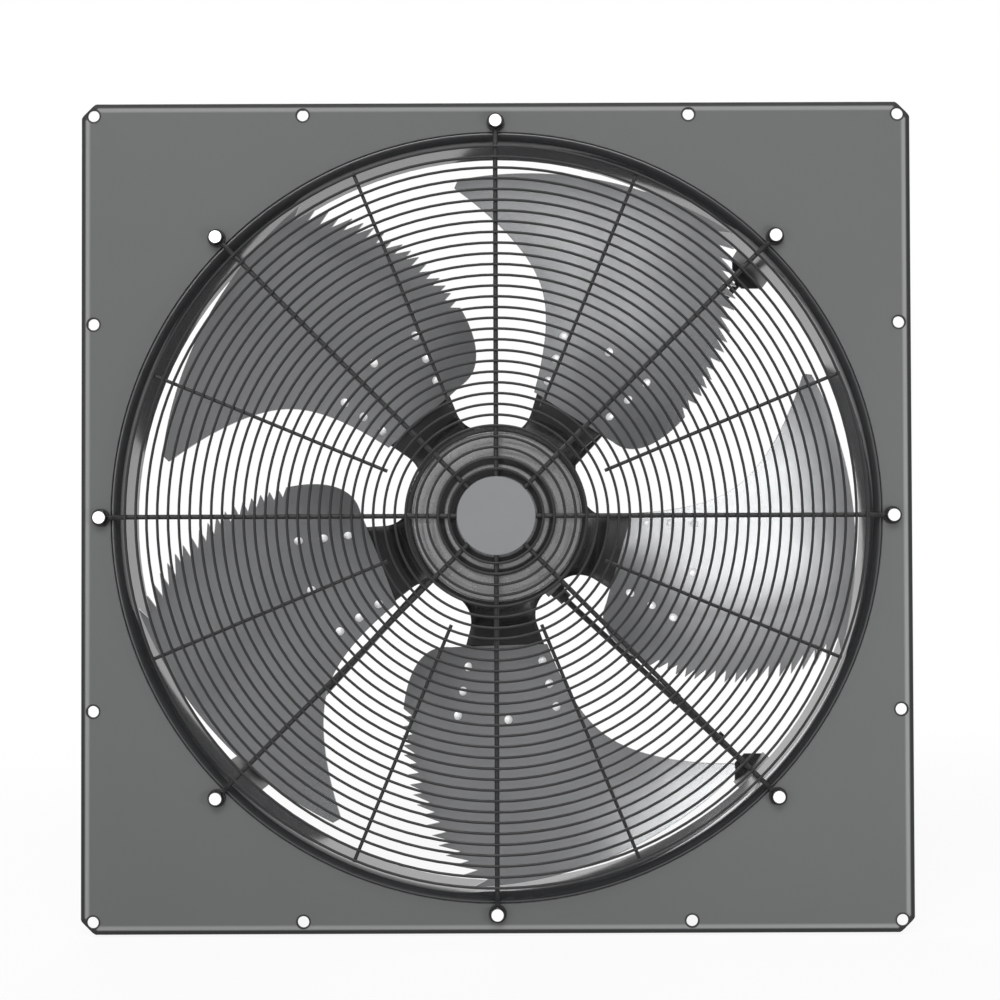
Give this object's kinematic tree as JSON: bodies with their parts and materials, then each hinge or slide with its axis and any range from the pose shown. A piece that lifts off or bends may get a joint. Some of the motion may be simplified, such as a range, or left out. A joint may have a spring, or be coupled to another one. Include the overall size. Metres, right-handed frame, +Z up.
{
  "type": "axial fan",
  "caption": "Square plate-mounted axial fan: wire guard, round nozzle, swept saw-toothed blades on an external-rotor motor, strut support and terminal box.",
  "frame": {"origin": "on the fan axis, in the front face of the plate, at the middle of the corner bolts", "axes": "-Y along the fan axis out of the front with its guard, +Y to the motor side, +Z up, +X to the right as seen from the front"},
  "size_m": [0.8, 0.1819, 0.8],
  "materials": {
    "plate_paint": "grey powder coat, satin",
    "nozzle_paint": "black gloss paint",
    "guard_wire": "black powder coat",
    "disc_metal": "grey satin paint",
    "zinc_steel": "bright zinc plate",
    "support_paint": "black satin paint",
    "motor_cast": "dark satin coat on cast aluminium",
    "hub_black": "black gloss coat on cast aluminium",
    "blade_paint": "dark grey satin coat on cast aluminium",
    "rivet_alu": "bright",
    "core_steel": "stacked sheet steel",
    "winding_copper": "enamelled wire",
    "bearing_steel": "ground steel",
    "black_plastic": "fine matte",
    "block_plastic": "light grey matte",
    "lead_rubber": "matte black sheath"
  },
  "bodies": {
    "frame": {"wall_plate": "plate_paint", "nozzle_ring": "nozzle_paint", "guard_rings_inner": "guard_wire", "guard_rings_outer": "guard_wire", "guard_main_rods": "guard_wire", "guard_short_rods": "guard_wire", "guard_centre_disc": "disc_metal", "guard_bolts": "zinc_steel", "guard_washers": "zinc_steel", "guard_nuts": "zinc_steel", "strut_foot_1": "support_paint", "strut_foot_2": "support_paint", "strut_foot_3": "support_paint", "strut_foot_4": "support_paint", "strut_1": "support_paint", "strut_2": "support_paint", "strut_3": "support_paint", "strut_4": "support_paint", "motor_plate": "support_paint", "motor_bolts": "zinc_steel", "stator_flange": "motor_cast", "stator_core": "core_steel", "stator_windings": "winding_copper", "front_bearing_outer_ring": "bearing_steel", "rear_bearing_outer_ring": "bearing_steel", "preload_spring": "bearing_steel", "motor_gland": "black_plastic", "motor_cable": "lead_rubber", "cable_ties": "black_plastic", "terminal_box": "black_plastic", "terminal_lid": "black_plastic", "lid_screws": "zinc_steel", "terminal_block": "block_plastic", "box_nuts": "zinc_steel", "box_glands": "black_plastic"},
    "impeller": {"rotor_can": "motor_cast", "rotor_core": "core_steel", "shaft": "bearing_steel", "shaft_circlip": "bearing_steel", "front_bearing_inner_ring": "bearing_steel", "rear_bearing_inner_ring": "bearing_steel", "hub_star": "hub_black", "blade_1": "blade_paint", "blade_2": "blade_paint", "blade_3": "blade_paint", "blade_4": "blade_paint", "blade_5": "blade_paint", "blade_rivets": "rivet_alu"},
    "bearing_balls": {"front_bearing_balls": "bearing_steel", "rear_bearing_balls": "bearing_steel"}
  },
  "joints": [
    {"name": "impeller_spin", "type": "hinge", "parent": "frame", "child": "impeller", "pos_m": [0, 0.064, 0], "axis": [0, -1, 0], "continuous": true},
    {"name": "ball_spin", "type": "hinge", "parent": "frame", "child": "bearing_balls", "pos_m": [0, 0.064, 0], "axis": [0, -1, 0], "continuous": true}
  ],
  "couplings": [
    {"joint": "ball_spin", "follows": "impeller_spin", "ratio": 0.3836}
  ]
}
